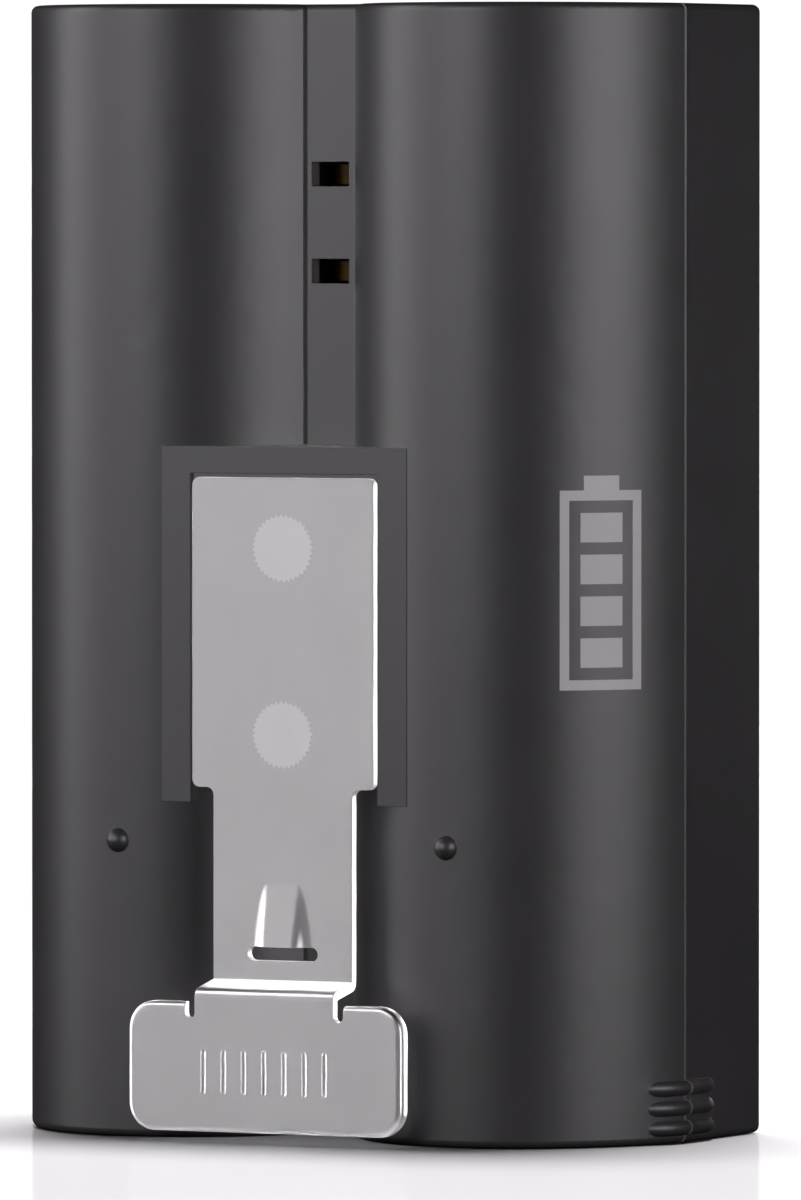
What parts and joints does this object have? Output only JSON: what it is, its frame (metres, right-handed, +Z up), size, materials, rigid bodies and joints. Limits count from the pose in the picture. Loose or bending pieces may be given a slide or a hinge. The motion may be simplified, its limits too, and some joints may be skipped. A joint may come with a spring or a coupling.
{
  "type": "removable rechargeable battery pack",
  "caption": "Slim two-lobed removable battery pack in black plastic with a riveted spring-steel push latch, contact windows and a charging port.",
  "frame": {"origin": "middle of the flat bottom end, on the plane where the front and rear shells meet", "axes": "+Z up the pack's length, away from the latch's push tab; -Y out of the front, where the latch is; +X to the right seen from the front"},
  "size_m": [0.0455, 0.0235, 0.07],
  "materials": {
    "case_plastic": "fine-textured satin black moulding",
    "label_film": "blank matt black film",
    "spring_steel": "satin rolled spring steel with bright edges",
    "stud_steel": "fine matt plated steel",
    "cell_steel": "nickel-plated deep-drawn steel",
    "cell_sleeve": "shrunk film",
    "insulating_paper": "vulcanised paper",
    "nickel": "bright nickel",
    "board_laminate": "green solder mask",
    "chip_black": "moulded epoxy",
    "capacitor_tan": "fired ceramic",
    "port_tongue": "moulded nylon",
    "light_pipe": "clear moulding",
    "led_white": "small diode package",
    "contact_gold": "gold flash",
    "thermistor_epoxy": "dipped epoxy bead",
    "foam_black": "closed-cell foam"
  },
  "bodies": {
    "case": {"front_shell": "case_plastic", "rear_shell": "case_plastic", "rear_label": "label_film", "latch_plate": "spring_steel", "latch_studs": "stud_steel", "stud_nuts": "stud_steel", "cell_left": "cell_steel", "cell_right": "cell_steel", "cell_sleeve_left": "cell_sleeve", "cell_sleeve_right": "cell_sleeve", "cell_caps": "cell_steel", "insulator_rings": "insulating_paper", "positive_busbar": "nickel", "negative_busbar": "nickel", "circuit_board": "board_laminate", "board_chips": "chip_black", "board_capacitors": "capacitor_tan", "charging_receptacle": "nickel", "receptacle_tongue": "port_tongue", "status_light_pipes": "light_pipe", "status_leds": "led_white", "contact_holder": "chip_black", "contact_negative": "contact_gold", "contact_positive": "contact_gold", "thermistor": "thermistor_epoxy", "cell_cushions": "foam_black", "adhesive_strips": "foam_black"},
    "latch": {"latch_arm": "spring_steel"}
  },
  "joints": [
    {"name": "latch_press", "type": "hinge", "parent": "case", "child": "latch", "pos_m": [0, -0.01013, 0.0203], "axis": [1, 0, 0], "range_deg": [0, 4], "stiffness_Nm_per_rad": 1.5}
  ]
}
